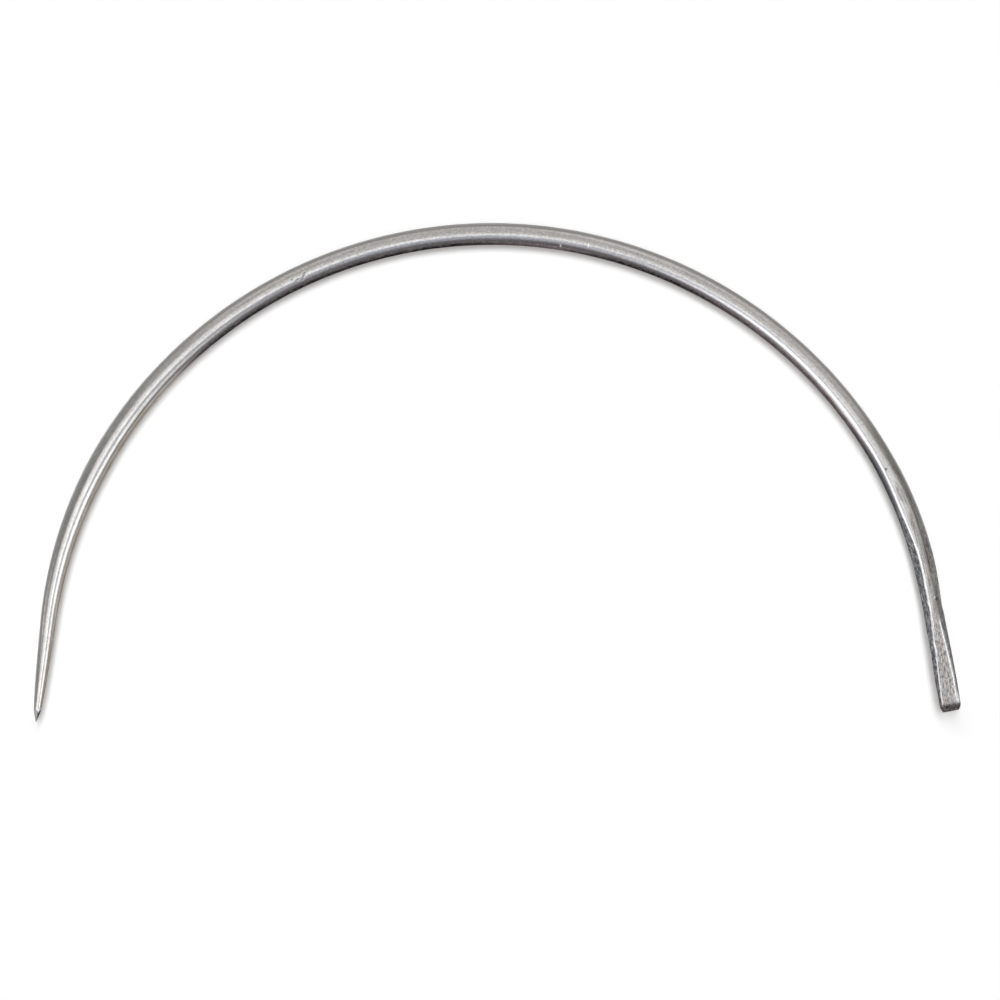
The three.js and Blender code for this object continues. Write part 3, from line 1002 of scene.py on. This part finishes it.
# Painted shade inside the bend, for the shadowed table it reflects: brown by the point, patchy pale to dark
BROWN_SHADED_STEEL = (0.315, 0.275, 0.228, 1)
PAINTED_SHADE_PALE = (0.318, 0.264, 0.274, 1)
PAINTED_SHADE_BROWN = (0.131, 0.109, 0.114, 1)
PAINTED_DARK_PATCH = (0.12, 0.111, 0.114, 1)
PAINTED_DARK = (0.022, 0.02, 0.022, 1)
NECK_PAINTED_SHADE = (0.11, 0.113, 0.123, 1)
PATCH_CONTRAST = (0.1, 0.9)


def patchy_share(name):
    """A finish's share, with an edge broken into patches."""
    share = zone_share(name)
    return maths("MULTIPLY", graded(maths("ADD", share, patchy), PATCH_CONTRAST), share)


painted_shade_share = patchy_share("skin")
colour = between(broken("browned", blotches, (0.3, 0.6), 0.75, 1.0), colour, BROWN_SHADED_STEEL)
painted_shade_colour = between(graded(flakes, (0.4, 0.64)), PAINTED_SHADE_BROWN, PAINTED_SHADE_PALE)
painted_shade_colour = between(zone_share("neck"), painted_shade_colour, NECK_PAINTED_SHADE)
colour = between(painted_shade_share, colour, painted_shade_colour)
# The darkest painted shade, at the inner edge
painted_dark_colour = between(graded(flakes, (0.42, 0.66)), PAINTED_DARK, PAINTED_DARK_PATCH)
colour = between(patchy_share("dark"), colour, painted_dark_colour)

# The forged flanks: bluish and darker inside, the darkness painted shade, brownish outside, flaked dark and
# rubbed bright
FORGED_INNER_SHADED = (0.18, 0.182, 0.195, 1)
FORGED_OUTER = (0.32, 0.305, 0.29, 1)
FORGED_BRIGHT = (0.42, 0.415, 0.42, 1)
FORGED_DARK = (0.035, 0.035, 0.042, 1)
SHADE_STEEL = (0.14, 0.135, 0.13, 1)
forged_colour = between(graded(wire_parts.outputs["Y"], (-0.3, 0.3)), FORGED_INNER_SHADED, FORGED_OUTER)
colour = between(zone_share("forged"), colour, forged_colour)
colour = between(broken("shade", stroke_mix, (0.38, 0.58), 1.0, 0.5), colour, SHADE_STEEL)
flaked = maths("MULTIPLY", graded(flakes, (0.53, 0.43)), graded(zone_share("flank"), (0, 1), 0.85, 0.5))
colour = between(maths("MULTIPLY", zone_share("forged"), flaked), colour, FORGED_DARK)
colour = between(broken("forged", flakes, (0.53, 0.66), 0.0, 0.7), colour, FORGED_BRIGHT)

# The filed flats, with faint pink and blue tints, and the painted highlights on their lip and burr
FILED_DARK = (0.19, 0.185, 0.18, 1)
FILED_BRIGHT = (0.58, 0.57, 0.56, 1)
WORKED_DARK = (0.1, 0.097, 0.097, 1)
WORKED_BRIGHT = (0.57, 0.555, 0.545, 1)
PINK_TINT = (0.42, 0.34, 0.31, 1)
BLUE_TINT = (0.36, 0.36, 0.43, 1)
PAINTED_GLINT_STEEL = (0.9, 0.91, 0.93, 1)
FILED_RAGGED = 0.35
filed_share = maths("ADD", zone_share("filed"), maths("MULTIPLY", ragged, FILED_RAGGED))
filed_share = graded(filed_share, (0.3, 0.7))
stroke_dark = between(zone_share("worked"), FILED_DARK, WORKED_DARK)
stroke_bright = between(zone_share("worked"), FILED_BRIGHT, WORKED_BRIGHT)
filed_colour = between(graded(stroke_mix, (0.39, 0.64)), stroke_dark, stroke_bright)
filed_colour = between(graded(tints, (0.52, 0.68), 0.0, 0.45), filed_colour, PINK_TINT)
filed_colour = between(graded(tints, (0.44, 0.3), 0.0, 0.25), filed_colour, BLUE_TINT)
colour = between(filed_share, colour, filed_colour)
# Painted highlights along the inner lip and along the burr
painted_glint_share = maths("MAXIMUM", zone_share("lip"), broken("burr", flakes, (0.33, 0.5), 0.4, 1.0))
colour = between(painted_glint_share, colour, PAINTED_GLINT_STEEL)

# The sheared end, the eye with its walls painted dark as shade, the honed tip and the small marks
SHEARED_AND_SHADE_DARK = (0.045, 0.037, 0.04, 1)
SHEARED_BRIGHT = (0.3, 0.275, 0.268, 1)
HONED_STEEL = (0.23, 0.23, 0.23, 1)
HONED_DARK = (0.11, 0.11, 0.11, 1)
GLINT_BRIGHT = (0.97, 0.97, 0.97, 1)
sheared_share = graded(maths("ADD", zone_share("sheared"), ragged), (0.35, 0.65))
sheared_colour = between(graded(torn_mix, (0.4, 0.64)), SHEARED_AND_SHADE_DARK, SHEARED_BRIGHT)
honed_colour = between(graded(wire_parts.outputs["Y"], (-0.06, 0.04)), HONED_DARK, HONED_STEEL)
colour = between(sheared_share, colour, sheared_colour)
# Painted shade on the eye's walls
colour = between(zone_share("pierced"), colour, SHEARED_AND_SHADE_DARK)
colour = between(zone_share("honed"), colour, honed_colour)
# Painted glints on the bright marks
colour = between(zone_share("glint"), colour, GLINT_BRIGHT)
colour = between(zone_share("pit"), colour, SHEARED_AND_SHADE_DARK)
put(shader.inputs["Base Color"], colour)

# How rough each finish is
DULL_LINES = 0.21
BRIGHT_LINES = 0.13
finishes = [
    (painted_shade_share, 0.30),
    (zone_share("forged"), 0.32),
    (filed_share, 0.28),
    (painted_glint_share, 0.22),
    (sheared_share, 0.55),
    (zone_share("pierced"), 0.5),
    (zone_share("honed"), 0.34),
]
roughness = graded(lines_and_mottle, (0.3, 0.7), DULL_LINES, BRIGHT_LINES)
for share, finish_roughness in finishes:
    roughness = level(share, roughness, finish_roughness)
put(shader.inputs["Roughness"], roughness)
put(shader.inputs["Metallic"], 1.0)
put(shader.inputs["Specular Tint"], (0.3, 0.3, 0.3, 1))

# How high each pattern stands, in millimetres
reliefs = [
    (draw_lines, 0.0016),
    (dimples, 0.008),
    (grain, 0.003),
    (maths("MULTIPLY", stroke_mix, filed_share), 0.014),
    (maths("MULTIPLY", speckle, sheared_share), 0.025),
    (maths("MULTIPLY", speckle, zone_share("forged")), 0.01),
]
height = 0.0
for pattern, pattern_height in reliefs:
    height = maths("ADD", height, maths("MULTIPLY", pattern, pattern_height))
bump = tree.nodes.new("ShaderNodeBump")
put(bump.inputs["Strength"], 1.0)
put(bump.inputs["Distance"], MILLIMETRE)
put(bump.inputs["Height"], height)
put(shader.inputs["Normal"], bump.outputs[0])
pierced.materials.clear()
pierced.materials.append(steel)

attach(needle, "root")
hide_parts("needle")

# The lamps
# A ring of small soft lamps hangs close above the outside of the arch, so that the needle's shadow falls
# inwards on the table. They show neither to the camera nor in the steel.
LAMP_RING = 0.057
LAMP_MIDDLE = (0, -0.02)
LAMP_HEIGHT = 0.032
LAMP_DISC = 0.016
LAMP_POWER = 0.0034
LAMP_COLOUR = (0.985, 1.0, 1.015)
LAMP_BEARINGS = range(-15, 196, 15)
lamp_places = []
for bearing in LAMP_BEARINGS:
    lamp_data = bpy.data.lights.new("lamp_%d" % bearing, "AREA")
    lamp_data.shape = "DISK"
    lamp_data.size = LAMP_DISC
    lamp_data.energy = LAMP_POWER
    lamp_data.color = LAMP_COLOUR
    lamp = bpy.data.objects.new(lamp_data.name, lamp_data)
    lamp.location = (
        LAMP_MIDDLE[0] + LAMP_RING * math.cos(math.radians(bearing)),
        LAMP_MIDDLE[1] + LAMP_RING * math.sin(math.radians(bearing)),
        LAMP_HEIGHT,
    )
    lamp.visible_camera = False
    lamp.visible_glossy = False
    bpy.context.scene.collection.objects.link(lamp)
    lamp_places.append(tuple(lamp.location))

# The table
# A plain sheet of matt white board that the needle lies on, wide enough that no edge of it shows.
TABLE_SIDE = 6.0
TABLE_WHITE = 0.82
table_mesh = bpy.data.meshes.new("table")
half_side = TABLE_SIDE / 2
table_corners = [(x * half_side, y * half_side, 0) for x, y in ((-1, -1), (1, -1), (1, 1), (-1, 1))]
table_mesh.from_pydata(table_corners, [], [(0, 1, 2, 3)])
table = bpy.data.objects.new("table", table_mesh)
bpy.context.scene.collection.objects.link(table)
board = bpy.data.materials.new("white_board")
board.use_nodes = True
board_shader = board.node_tree.nodes["Principled BSDF"]
board_shader.inputs["Base Color"].default_value = (TABLE_WHITE, TABLE_WHITE, TABLE_WHITE, 1)
board_shader.inputs["Roughness"].default_value = 1.0
board_shader.inputs["Specular IOR Level"].default_value = 0.0

# It glows by just what the lamps leave short of white: a level disc lamp gives a level board light that
# falls with about the fourth power of the distance between them.
tree = board.node_tree
spot = tree.nodes.new("ShaderNodeNewGeometry").outputs["Position"]
lamp_light = 0.0
for lamp_place in lamp_places:
    apart = vector_maths("DISTANCE", spot, lamp_place)["Value"]
    apart_squared = maths("ADD", maths("POWER", apart, 2), LAMP_DISC ** 2 / 8)
    lamp_light = maths("ADD", maths("POWER", apart_squared, -2), lamp_light)
lamp_light = maths("MULTIPLY", lamp_light, TABLE_WHITE * LAMP_POWER * LAMP_HEIGHT ** 2 / math.pi ** 2)
taken = tuple(-part for part in LAMP_COLOUR)
missing = vector_maths("MULTIPLY_ADD", lamp_light, taken, (1, 1, 1))["Vector"]
ray = tree.nodes.new("ShaderNodeLightPath").outputs
seen = maths("MAXIMUM", ray["Is Camera Ray"], ray["Is Glossy Ray"])
seen = maths("MAXIMUM", seen, ray["Is Transmission Ray"])
put(board_shader.inputs["Emission Color"], missing)
put(board_shader.inputs["Emission Strength"], seen)
table_mesh.materials.append(board)

# The light
# A white tent lit through its walls: a soft box to the left and one to the right, both a little in front,
# pale walls, a glow overhead and high in front, and no light low in front, where the maker stands.
# Each light: degrees round from +X, degrees down from overhead, spread in degrees, strength, colour
TENT_CLOTH = (0.215, 0.21, 0.21)
TENT_LIGHTS = {
    "back wall": (64, 68, 32, 0.83, (1.0, 0.975, 0.945)),
    "back left wall": (121, 73, 17, 0.49, (1.0, 0.98, 0.95)),
    "overhead front": (280, 7, 8, 1.18, (0.985, 1.0, 1.01)),
    "overhead left": (150, 17, 15, 0.85, (1.0, 0.99, 0.97)),
    "overhead right": (35, 21, 8, 0.82, (1.0, 0.99, 0.97)),
    "left box": (221, 41, 11, 3.2, (0.985, 1.0, 1.01)),
    "right box": (335, 49, 12, 1.89, (0.99, 1.0, 1.0)),
    "front glow": (277, 32, 10, 0.51, (0.92, 0.98, 1.1)),
    "left wall": (201, 78, 15, 2.18, (1.0, 0.98, 0.95)),
    "right wall": (343, 99, 16, 0.31, (1.0, 0.98, 0.95)),
}

world = bpy.data.worlds.new("tent")
bpy.context.scene.world = world
world.use_nodes = True
tree = world.node_tree
direction = tree.nodes.new("ShaderNodeTexCoord").outputs["Generated"]
glow = TENT_CLOTH
for azimuth, tilt, spread, strength, tint in TENT_LIGHTS.values():
    aside = math.sin(math.radians(tilt))
    towards = (
        aside * math.cos(math.radians(azimuth)),
        aside * math.sin(math.radians(azimuth)),
        math.cos(math.radians(tilt)),
    )
    nearness = vector_maths("DOT_PRODUCT", direction, towards)["Value"]
    closeness = maths("DIVIDE", maths("SUBTRACT", nearness, 1.0), math.radians(spread) ** 2)
    shine = tuple(strength * part for part in tint)
    glow = vector_maths("MULTIPLY_ADD", maths("EXPONENT", closeness), shine, glow)["Vector"]
put(tree.nodes["Background"].inputs["Color"], glow)
world.cycles_visibility.diffuse = False

# The camera
# It looks straight down on the middle of the picture, which is 103.03 mm wide at the wire's own level.
PICTURE_WIDTH = 0.10303
PICTURE_MIDDLE = (0.00027, -0.00284)
CAMERA_HEIGHT = 0.90
SENSOR_WIDTH = 36.0
camera_data = bpy.data.cameras.new("camera")
camera_data.sensor_width = SENSOR_WIDTH
camera_data.lens = SENSOR_WIDTH * CAMERA_HEIGHT / PICTURE_WIDTH
camera = bpy.data.objects.new("camera", camera_data)
camera.location = (*PICTURE_MIDDLE, radius * MILLIMETRE + CAMERA_HEIGHT)
bpy.context.scene.collection.objects.link(camera)
bpy.context.scene.camera = camera
bpy.context.scene.view_settings.view_transform = "Standard"
